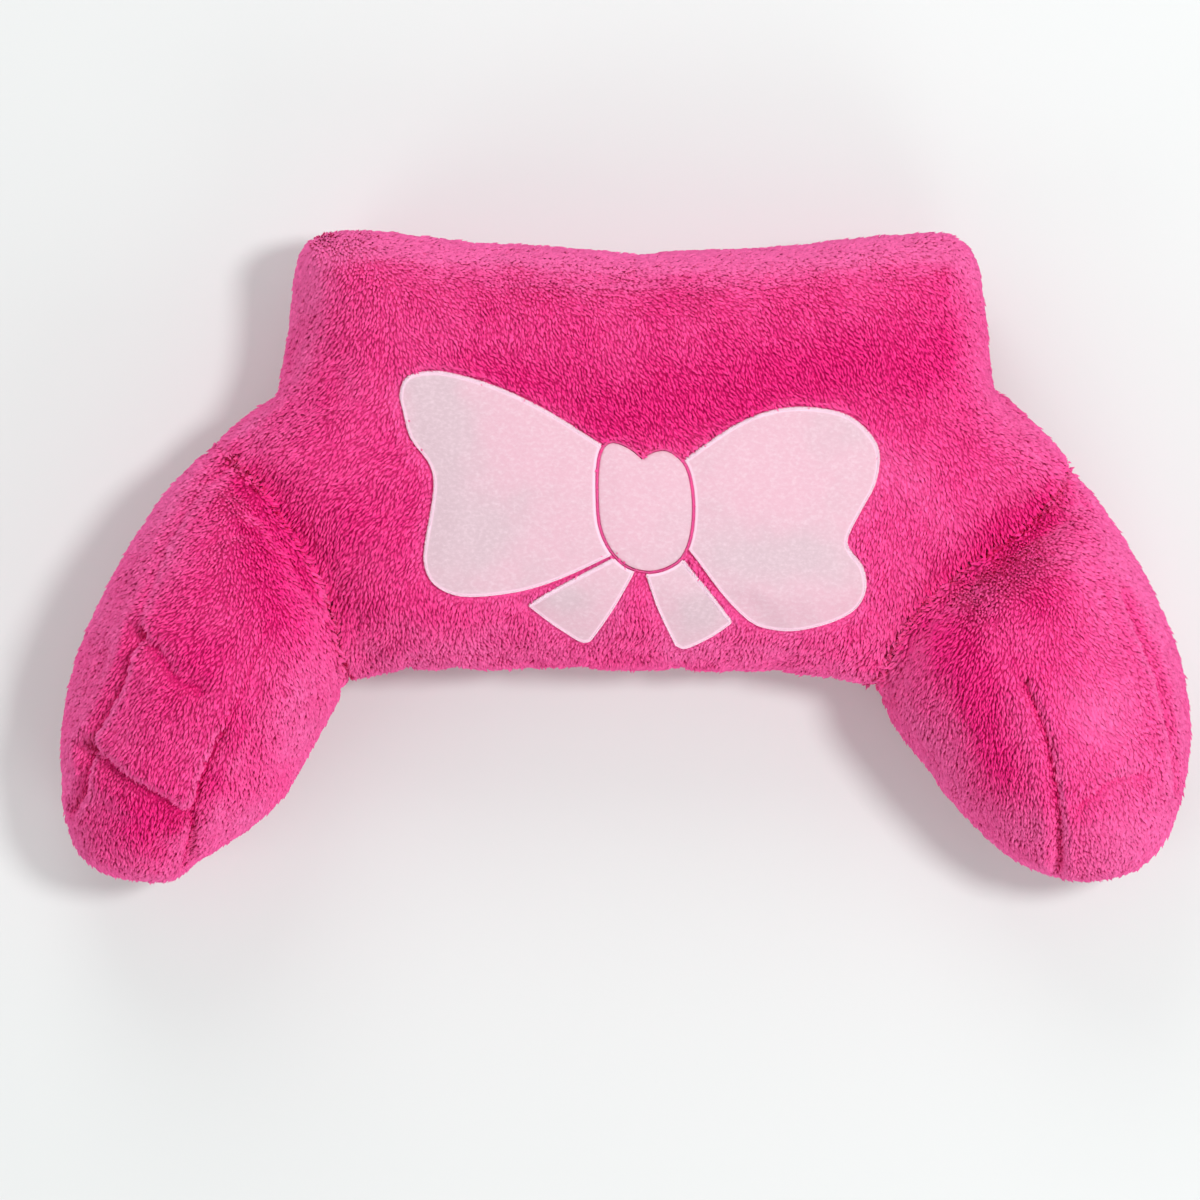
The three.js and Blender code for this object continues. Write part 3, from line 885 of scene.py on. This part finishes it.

# where a hand has stroked the pile flatter or raised it, which also paints it paler or darker: plan
# place, reach along and across, turn, by how much. The pale rows along the top edge are painted sheen,
# and the darker patch left of the bow is painted shade.
STROKES_AND_PAINTED_LIGHT = [
    (0.03, 0.100, 0.090, 0.028, 5, -0.40), (0.15, 0.130, 0.090, 0.026, -5, -0.36),
    (-0.05, 0.140, 0.060, 0.022, -20, -0.10), (0.22, 0.160, 0.030, 0.025, 0, -0.20),
    (0.03, 0.205, 0.120, 0.015, 0, 0.85), (-0.15, 0.210, 0.070, 0.012, 0, 0.50),
    (0.20, 0.208, 0.060, 0.011, 0, 0.50), (-0.12, 0.170, 0.020, 0.018, 0, 0.10),
    (0.24, 0.050, 0.045, 0.026, 60, 0.10), (-0.215, 0.203, 0.026, 0.022, 0, 0.55),
    (0.256, 0.010, 0.045, 0.022, 42, -0.45), (0.205, -0.060, 0.040, 0.022, 60, -0.35),
    (-0.245, 0.020, 0.045, 0.020, -60, -0.35), (-0.17, 0.030, 0.060, 0.050, 0, -0.20),
    (0.19, -0.030, 0.040, 0.022, 65, 0.25), (-0.19, 0.060, 0.050, 0.040, 45, 0.10),
    (-0.238, 0.022, 0.034, 0.013, -58, -0.55), (-0.236, -0.020, 0.030, 0.016, -70, -0.20),
    (0.262, 0.012, 0.030, 0.012, 45, -0.55), (0.272, -0.030, 0.022, 0.020, 60, -0.30),
    (0.228, -0.080, 0.055, 0.014, -72, -0.38), (0.250, -0.135, 0.020, 0.010, -60, -0.25),
    (-0.29, -0.065, 0.035, 0.024, -50, -0.30), (-0.325, -0.168, 0.030, 0.016, -30, -0.28),
    (-0.268, -0.152, 0.012, 0.010, 0, -0.45), (-0.345, -0.120, 0.020, 0.020, 0, 0.12),
    (0.325, -0.100, 0.090, 0.026, -75, 0.28), (0.345, -0.010, 0.040, 0.016, -50, 0.25),
    (0.330, -0.160, 0.030, 0.020, -70, 0.10), (-0.315, 0.030, 0.040, 0.018, 45, 0.20),
    (-0.120, -0.060, 0.030, 0.012, 0, 0.15), (0.100, -0.070, 0.060, 0.012, 0, 0.10),
    (-0.218, -0.043, 0.034, 0.018, -65, -0.50), (0.190, 0.045, 0.035, 0.022, 80, 0.22),
    (-0.085, 0.122, 0.040, 0.015, -20, -0.25), (0.305, -0.110, 0.030, 0.022, -70, 0.35),
    (0.325, -0.190, 0.030, 0.018, 0, 0.20), (0.000, -0.068, 0.070, 0.012, 0, -0.30),
    (0.120, -0.067, 0.040, 0.012, 0, -0.25), (-0.245, -0.137, 0.030, 0.014, -65, -0.30),
    (-0.325, -0.185, 0.030, 0.020, 0, -0.30), (0.217, -0.065, 0.060, 0.020, -65, -0.22),
    (0.245, -0.145, 0.030, 0.018, -55, -0.22), (-0.225, 0.110, 0.030, 0.012, 90, -0.15),
]


def brushed_direction(points):
    """The way the pile points at each plan place, as a blend of the rows nearby."""
    places = np.array([(x, y) for x, y, _ in BRUSHED])
    turns = np.radians([turn for _, _, turn in BRUSHED])
    arrows = np.stack([np.cos(turns), np.sin(turns)], axis=1)
    apart = ((points[:, None, :2] - places[None]) ** 2).sum(axis=2)
    share = np.exp(-apart / (2 * BRUSH_REACH ** 2)) + 1e-6 / (apart + 1e-4)
    return unit(share @ arrows)


def turned_from_bow(points, flat, gap):
    """The lying direction with the part that points into the bow's edge taken out near it."""
    near = np.nonzero(gap < BOW_REACH)[0]
    rims = np.concatenate([outlines[node] for node in BOW_PIECES])
    apart = ((points[near, None, :2] - rims[None]) ** 2).sum(axis=2)
    towards = unit(rims[apart.argmin(axis=1)] - points[near, :2])
    into = np.maximum((flat[near, :2] * towards).sum(axis=1), 0.0)
    share = 1.0 - fade(gap[near], 0.4 * BOW_REACH, BOW_REACH)
    flat = flat.copy()
    flat[near, :2] -= towards * (1.15 * into * share)[:, None]
    return flat


def brush(item, bare, gap, seams, seed):
    """Sets how the pile stands on the cloth: its lean, its height, and how thick it grows."""
    mesh = item.data
    points = points_of(mesh)
    outward = normals_of(mesh)
    plan = brushed_direction(points)
    turn = WAVER[0] * waves(points, WAVER[1], seed)
    cos_turn, sin_turn = np.cos(turn), np.sin(turn)
    faces = (plan * outward[:, :2]).sum(axis=1)
    aside = ASIDE * fade(-faces, 0.20, 0.70)
    arrow = np.stack([plan[:, 0] * cos_turn - plan[:, 1] * sin_turn + aside * outward[:, 1],
                      plan[:, 0] * sin_turn + plan[:, 1] * cos_turn - aside * outward[:, 0],
                      ASIDE_RISE * aside - HANG * fade(faces, -0.25, 0.25)], axis=1)
    flat = unit(along_surface(arrow, outward))
    beside_seam = values_of(mesh, "joint")
    on_top = fade(outward[:, 2], 0.15, 0.55)
    joint = beside_seam * on_top
    over = along_surface(values_of(mesh, "over_seam") * on_top[:, None], outward)
    flat = unit(flat * (1.0 - 0.50 * joint[:, None]) + SEAM_LEAN * over)
    if item is back_cover:
        flat = turned_from_bow(points, flat, gap)
    # the strokes change the lean and also paint sheen and shade, through the flatness
    strokes = stroked_amount(points, STROKES_AND_PAINTED_LIGHT)
    flatness_and_sheen = PILE_FLATNESS + strokes + PATCHES[0] * waves(points, PATCHES[1], seed + 5)
    flatness_and_sheen += BOW_HALO * np.exp(-(gap / BOW_REACH) ** 2) - GROOVE_STEEPER_AND_SHADE * seams
    lean = STANDING_LEAN + (LYING_LEAN - STANDING_LEAN) * np.clip(flatness_and_sheen, 0.0, 1.0)[:, None]
    lie = outward * np.cos(lean) + flat * np.sin(lean)
    side = fade(1.0 - outward[:, 2], 0.10, 0.60)
    smooth = flatness_and_sheen + SMOOTH_ALL + side * (SMOOTH_RAISED * np.maximum(-strokes, 0.0) + SMOOTH_SIDE)
    smooth += SMOOTH_SEAM * beside_seam
    # painted sheen: the sides are painted paler
    flatness_and_sheen = np.clip(flatness_and_sheen + SIDE_PAINTED_SHEEN * side, 0.0, 1.0)
    # down in the seam between two cloths only the topmost pile grows, straight up along the wall
    wall = values_of(mesh, "wall")
    hidden = wall.copy()
    rows = np.nonzero(wall > 0.2)[0]
    tops = ground_under(points[rows, :2] - 0.008 * outward[rows, :2], tree_of(mesh))
    hidden[rows] *= fade(tops - points[rows, 2], WALL_PILE, 1.5 * WALL_PILE)
    upright = np.array([0.0, 0.0, 1.0]) + 0.15 * outward
    lie = unit(lie * (1.0 - wall[:, None]) + upright * wall[:, None])
    under = fade(-outward[:, 2], 0.75, 0.95)
    thick = (1.0 - bare) * (1.0 - GROOVE_THINNER * seams) * (1.0 - UNDER_THINNER * under) * (1.0 - hidden)
    full = (1.0 + FLAT_FULLER * flatness_and_sheen) * (1.0 + SEAM_FULLER * joint)
    tall = 1.0 - BOW_SHORTER * np.exp(-(gap / 0.003) ** 2) - GROOVE_SHORTER * seams
    tall = tall - SEAM_SIDE_SHORTER * (beside_seam * (1.0 - on_top)) + SEAM_TALLER * joint
    lit = unit(outward + np.array([0.0, 0.0, SEAM_LIGHT]) * beside_seam[:, None])
    stored = {"lie": lie, "outward": lit, "smooth": np.clip(smooth, 0.0, 1.0),
              "thick": np.clip(thick, 0.0, 1.0), "tall": tall, "full": full, "flatness_and_sheen": flatness_and_sheen}
    for name, values in stored.items():
        give_attribute(mesh, name, values)


def tuft_mesh():
    """One tuft of unit length along Z: a small roof with its crest on +X, and its unwrap."""
    turns = np.radians([0, 115, 245])
    ring = [(0.5 * math.cos(turn), 0.5 * math.sin(turn), TUFT_BELLY) for turn in turns]
    rows = [(0.0, 0.0, 0.0)] + ring + [(0.0, 0.0, 1.0)]
    faces, places = [], []
    for here, after, left in ((1, 2, 0.03), (3, 1, 0.53)):
        right = left + 0.44
        middle = (left + right) / 2
        faces.append((0, after, here))
        places.append([(middle, 0.03), (right, 0.47), (left, 0.47)])
        faces.append((4, here, after))
        places.append([(middle, 0.97), (left, 0.53), (right, 0.53)])
    mesh = bpy.data.meshes.new("tuft")
    mesh.from_pydata(rows, [], faces)
    mesh.shade_smooth()
    unwrap = mesh.uv_layers.new(name="OFBake")
    unwrap.data.foreach_set("uv", np.array(places, np.float32).ravel())
    # painted shade on each tuft: dark at its root, its flanks and tip darker than its crest
    give_attribute(mesh, "crest", [0.0, 1.0, FLANK_LIGHT, FLANK_LIGHT, TIP_LIGHT])
    return mesh


def plush_pile_tree():
    """Geometry nodes: tufts scattered over a cloth, as its "lie", "thick", "full" and "tall" say."""
    tree, given, result = new_tree("plush pile", "Tuft", [
        "From X", "To X", "Spacing", "Length", "Width", "Scatter"])
    seed = given["Seed"]

    squared = worked_out(tree, "MULTIPLY", given["Spacing"], given["Spacing"])
    scattered = node_with(tree, "GeometryNodeDistributePointsOnFaces", {
        "Mesh": given["Geometry"], "Distance Min": given["Spacing"],
        "Density Max": worked_out(tree, "DIVIDE", 4.0, squared),
        "Density Factor": from_cloth(tree, "thick"), "Seed": seed}, distribute_method="POISSON")

    # only the points within the span stay
    spot = tree.nodes.new("GeometryNodeInputPosition").outputs["Position"]
    parts = node_with(tree, "ShaderNodeSeparateXYZ", {"Vector": spot})
    before = worked_out(tree, "LESS_THAN", parts.outputs["X"], given["From X"])
    beyond = worked_out(tree, "GREATER_THAN", parts.outputs["X"], given["To X"])
    within = node_with(tree, "GeometryNodeDeleteGeometry", {
        "Geometry": scattered, "Selection": worked_out(tree, "ADD", before, beyond)}, domain="POINT")

    # each tuft leans with the cloth's pile and a little its own way, its crest turned outward
    stray = node_with(tree, "ShaderNodeVectorMath", {
        "Vector": random_arrow(tree, seed, (-1.0, -1.0, -1.0), (1.0, 1.0, 1.0)),
        "Scale": given["Scatter"]}, operation="SCALE")
    leaning = node_with(tree, "ShaderNodeVectorMath", {
        0: from_cloth(tree, "lie", "FLOAT_VECTOR"), 1: stray}, operation="ADD")
    aim = node_with(tree, "FunctionNodeAlignRotationToVector", {"Vector": leaning}, axis="Z")
    rolled = node_with(tree, "FunctionNodeAlignRotationToVector", {
        "Rotation": aim, "Vector": scattered.outputs["Normal"]},
        axis="X", pivot_axis="Z")

    other_seed = worked_out(tree, "ADD", seed, 5.0)
    uneven = random_arrow(tree, other_seed, (0.75, 0.75, 0.72), (1.20, 1.20, 1.25))
    breadth = worked_out(tree, "MULTIPLY", given["Width"], from_cloth(tree, "full"))
    length = worked_out(tree, "MULTIPLY", given["Length"], from_cloth(tree, "tall"))
    size = node_with(tree, "ShaderNodeCombineXYZ", {"X": breadth, "Y": breadth, "Z": length})
    tuft = node_with(tree, "GeometryNodeObjectInfo", {"Object": given["Tuft"]},
                     transform_space="ORIGINAL")
    standing = node_with(tree, "GeometryNodeInstanceOnPoints", {
        "Points": within, "Instance": tuft.outputs["Geometry"], "Rotation": rolled,
        "Scale": multiplied(tree, uneven, size)})

    # its own shade and the cloth's outward direction go with it, for its material
    shade = node_with(tree, "FunctionNodeRandomValue", {"Seed": seed}, data_type="FLOAT")
    shaded = node_with(tree, "GeometryNodeStoreNamedAttribute", {
        "Geometry": standing, "Name": "shade",
        "Value": next(s for s in shade.outputs if s.enabled)}, data_type="FLOAT", domain="INSTANCE")
    faced = node_with(tree, "GeometryNodeStoreNamedAttribute", {
        "Geometry": shaded, "Name": "outward",
        "Value": from_cloth(tree, "outward", "FLOAT_VECTOR")},
        data_type="FLOAT_VECTOR", domain="INSTANCE")
    real = node_with(tree, "GeometryNodeRealizeInstances", {"Geometry": faced})

    place = tree.nodes.new("GeometryNodeInputPosition").outputs["Position"]
    lowest = node_with(tree, "ShaderNodeVectorMath", {0: place, 1: (-9.0, -9.0, TUFT_LOWEST)},
                       operation="MAXIMUM")
    settled = node_with(tree, "GeometryNodeSetPosition", {"Geometry": real, "Position": lowest})
    node_with(tree, "GeometryNodeSetMaterial", {
        "Geometry": settled, "Material": given["Material"]}, result)
    return tree


def grow_pile(name, cloth_mesh, span, seed):
    """The pile on one cloth between two places along X, every tuft with its own square of the unwrap."""
    item = new_object(name, cloth_mesh.copy())
    mesh = with_tree(item, pile_tree, {
        "Tuft": tuft, "From X": span[0], "To X": span[1], "Spacing": TUFT_SPACING, "Length": TUFT_LENGTH,
        "Width": TUFT_WIDTH, "Scatter": TUFT_SCATTER, "Seed": seed, "Material": pile_material})
    for spare in ("lie", "thick", "tall", "full", "wall", "joint", "over_seam"):
        if spare in mesh.attributes:
            mesh.attributes.remove(mesh.attributes[spare])
    count = len(mesh.polygons) // TUFT_FACES
    across = math.ceil(math.sqrt(count))
    unwrap = mesh.uv_layers["OFBake"]
    spots = np.empty(len(mesh.loops) * 2, np.float32)
    unwrap.data.foreach_get("uv", spots)
    spots = spots.reshape(count, -1, 2)
    order = np.arange(count)
    corner = np.stack([order % across, order // across], axis=1)
    spots = (spots + corner[:, None, :]) / across
    unwrap.data.foreach_set("uv", spots.astype(np.float32).ravel())
    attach(item, "root")


STANDING_SOFTNESS = 0.10     # how far a tuft's normal follows the cloth's
LYING_SOFTNESS = 0.66

# linear colours of the fleece: painted shade deep in the pile, tips that stand up, and painted sheen on
# tips that lie flat
PILE_ROOT_SHADE = (0.44, 0.0, 0.078)
PILE_TIP = (1.0, 0.031, 0.272)
PILE_PAINTED_SHEEN = (0.94, 0.145, 0.41)


def fleece_colour_group():
    """Shader group: the colour of plush, with painted shade deep in the pile and painted sheen where it
    lies flat.
    """
    tree = bpy.data.node_groups.new("fleece colour", "ShaderNodeTree")
    sockets = [(name, "Color") for name in ("Deep", "Tip", "Pale")]
    sockets += [(name, "Float") for name in ("Crest", "Flatness And Sheen", "Smooth", "Shade")]
    for name, kind in sockets:
        tree.interface.new_socket(name, in_out="INPUT", socket_type="NodeSocket" + kind)
    tree.interface.new_socket("Colour", in_out="OUTPUT", socket_type="NodeSocketColor")
    given = tree.nodes.new("NodeGroupInput").outputs
    result = tree.nodes.new("NodeGroupOutput")
    # each tuft is a little flatter or steeper than its neighbours
    own = node_with(tree, "ShaderNodeMath", {0: given["Shade"], 1: 0.24, 2: -0.12},
                    operation="MULTIPLY_ADD").outputs[0]
    lies = worked_out(tree, "ADD", given["Flatness And Sheen"], own, use_clamp=True)
    # painted sheen: pile that lies flat is painted paler
    tip = blended(tree, lies, given["Tip"], given["Pale"])
    # smooth pile gets less painted shade at its roots, so its crest colour reaches further down
    hides = worked_out(tree, "ADD", given["Smooth"], own, use_clamp=True)
    reach = node_with(tree, "ShaderNodeMapRange", {"Value": hides, "To Min": 1.0, "To Max": 0.50})
    rise = node_with(tree, "ShaderNodeMapRange", {
        "Value": given["Crest"], "From Min": 0.10, "From Max": reach},
        interpolation_type="SMOOTHSTEP")
    # and the painted shade at the roots between the tufts is painted lighter, towards its colour
    deep = blended(tree, worked_out(tree, "MULTIPLY", hides, 0.65), given["Deep"], tip)
    colour = blended(tree, rise, deep, tip)
    # some tufts are a little darker than their neighbours
    dim = node_with(tree, "ShaderNodeMapRange", {"Value": given["Shade"], "To Min": 0.82})
    node_with(tree, "ShaderNodeVectorMath", {"Vector": colour, "Scale": dim},
              result.inputs["Colour"], operation="SCALE")
    return tree


def fleece_material(name, pile):
    """Plush fleece: the standing pile itself, or the cloth it stands on."""
    material, tree, shader = new_material(name, 0.8, 0.02)
    place = tree.nodes.new("ShaderNodeTexCoord").outputs["Object"]
    grain = node_with(tree, "ShaderNodeTexNoise", {
        "Vector": place, "Scale": 2600.0 if pile else 620.0, "Detail": 2.0}).outputs["Fac"]
    smooth = stored_value(tree, "smooth")
    colour = node_with(tree, "ShaderNodeGroup", {
        "Deep": (*PILE_ROOT_SHADE, 1.0), "Tip": (*PILE_TIP, 1.0), "Pale": (*PILE_PAINTED_SHEEN, 1.0),
        "Smooth": smooth, "Flatness And Sheen": stored_value(tree, "flatness_and_sheen"),
        "Crest": stored_value(tree, "crest") if pile else grain,
        "Shade": stored_value(tree, "shade") if pile else 0.5}, node_tree=fleece_colour)
    bump = node_with(tree, "ShaderNodeBump", {
        "Height": grain, "Distance": 0.0002 if pile else 0.0012, "Strength": 0.5 if pile else 0.8})
    if pile:
        # the fibres of a tuft scatter light as the cloth would, not like a hard grain; a tuft
        # seen from its inner side keeps its own normal, or it would turn black
        cloth = tree.nodes.new("ShaderNodeAttribute")
        cloth.attribute_name = "outward"
        own = tree.nodes.new("ShaderNodeNewGeometry")
        softer = node_with(tree, "ShaderNodeMapRange", {
            "Value": smooth, "To Min": STANDING_SOFTNESS, "To Max": LYING_SOFTNESS})
        front = worked_out(tree, "SUBTRACT", 1.0, own.outputs["Backfacing"])
        soft = node_with(tree, "ShaderNodeMix", {
            "Factor": worked_out(tree, "MULTIPLY", softer, front),
            "A": own.outputs["Normal"], "B": cloth.outputs["Vector"]}, data_type="VECTOR")
        tree.links.new(soft.outputs["Result"], bump.inputs["Normal"])
    tree.links.new(bump.outputs["Normal"], shader.inputs["Normal"])
    tree.links.new(colour.outputs["Colour"], shader.inputs["Base Color"])
    return material


fleece_colour = fleece_colour_group()
cloth_material = fleece_material("fleece cloth", pile=False)
pile_material = fleece_material("fleece pile", pile=True)
tuft = new_object("tuft", tuft_mesh())
pile_tree = plush_pile_tree()

brush(back_cover, covered, bow_gap, back_seams, 31)
brush(left_arm_cover, 0.0, 1.0, left_seams, 32)
brush(right_arm_cover, 0.0, 1.0, right_seams, 33)
grow_pile("back_left_pile", back_cover.data, (-1.0, MIDDLE), 3)
grow_pile("back_right_pile", back_cover.data, (MIDDLE, 1.0), 3)
grow_pile("left_arm_pile", left_arm_cover.data, (-1.0, 1.0), 4)
grow_pile("right_arm_pile", right_arm_cover.data, (-1.0, 1.0), 5)
bpy.data.objects.remove(tuft)

covers = {"back_rest": back_cover, "left_arm": left_arm_cover, "right_arm": right_arm_cover}
for node, cover in covers.items():
    cover.data.materials.clear()
    cover.data.materials.append(cloth_material)
    cover.data.shade_smooth()
    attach(cover, "root")
    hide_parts(node)


# ---- Floor and lights --------------------------------------------------------
# A plain pale floor, one large soft lamp high on the right and light from all
# round. The floor glows a little, so that it stays pale beside the cushion.
FLOOR_COLOUR = (0.65, 0.67, 0.665, 1.0)
FLOOR_BOUNCE = (0.86, 0.86, 0.865, 1.0)
FLOOR_GLOW = 0.05
# name: place, size and power; high on the right, then low on the left, behind the top edge and in front
LAMPS = [
    ("key", Vector((1.30, 0.30, 2.80)), 0.6, 52.0),
    ("side", Vector((-1.9, -1.1, 1.3)), 1.4, 11.0),
    ("top", Vector((-0.4, 2.0, 1.6)), 1.4, 18.5),
    ("front", Vector((1.1, -2.1, 1.4)), 1.4, 17.0),
]
FILL_LOW = 1.15              # the light from all round, near the floor and overhead
FILL_HIGH = 0.20
BACKDROP = 0.87
FLOOR_HALF = 9.0


def looked_at(tree):
    """1 for light on its way to the camera, also in a mirror or through glass."""
    rays = tree.nodes.new("ShaderNodeLightPath").outputs
    direct = worked_out(tree, "MAXIMUM", rays["Is Camera Ray"], rays["Is Glossy Ray"])
    return worked_out(tree, "MAXIMUM", direct, rays["Is Transmission Ray"])


def end_with(tree, end, unseen, seen):
    """Ends a tree in one shader for the light that meets the camera and another for the rest."""
    node_with(tree, "ShaderNodeMixShader", {"Fac": looked_at(tree), 1: unseen, 2: seen},
              tree.nodes[end].inputs["Surface"])


floor_mesh = bpy.data.meshes.new("floor")
corners = [(-FLOOR_HALF, -FLOOR_HALF, 0), (FLOOR_HALF, -FLOOR_HALF, 0),
           (FLOOR_HALF, FLOOR_HALF, 0), (-FLOOR_HALF, FLOOR_HALF, 0)]
floor_mesh.from_pydata(corners, [], [(0, 1, 2, 3)])
floor = new_object("floor", floor_mesh)
floor_material = bpy.data.materials.new("floor paint")
floor_material.use_nodes = True
tree = floor_material.node_tree
tree.nodes.remove(tree.nodes["Principled BSDF"])
paint = node_with(tree, "ShaderNodeBsdfDiffuse", {"Color": FLOOR_COLOUR})
glow = node_with(tree, "ShaderNodeEmission", {"Strength": FLOOR_GLOW})
lit = node_with(tree, "ShaderNodeAddShader", {0: paint, 1: glow})
bounce = node_with(tree, "ShaderNodeBsdfDiffuse", {"Color": FLOOR_BOUNCE})
end_with(tree, "Material Output", bounce, lit)
floor_mesh.materials.append(floor_material)

for name, place, size, power in LAMPS:
    lamp_data = bpy.data.lights.new(name, "AREA")
    lamp_data.shape = "DISK"
    lamp_data.size = size
    lamp_data.energy = power
    lamp = bpy.data.objects.new(name, lamp_data)
    lamp.location = place
    lamp.rotation_mode = "QUATERNION"
    lamp.rotation_quaternion = (-place).to_track_quat("-Z", "Y")
    bpy.context.collection.objects.link(lamp)

world = bpy.data.worlds.new("studio")
bpy.context.scene.world = world
world.use_nodes = True
tree = world.node_tree
fill = tree.nodes["Background"]
fill.inputs["Color"].default_value = (1.0, 1.0, 1.0, 1.0)
around = tree.nodes.new("ShaderNodeTexCoord")
split = node_with(tree, "ShaderNodeSeparateXYZ", {"Vector": around.outputs["Generated"]})
node_with(tree, "ShaderNodeMapRange", {
    "Value": split.outputs["Z"], "To Min": FILL_LOW, "To Max": FILL_HIGH}, fill.inputs["Strength"])
backdrop = node_with(tree, "ShaderNodeBackground", {"Strength": BACKDROP})
end_with(tree, "World Output", fill, backdrop)
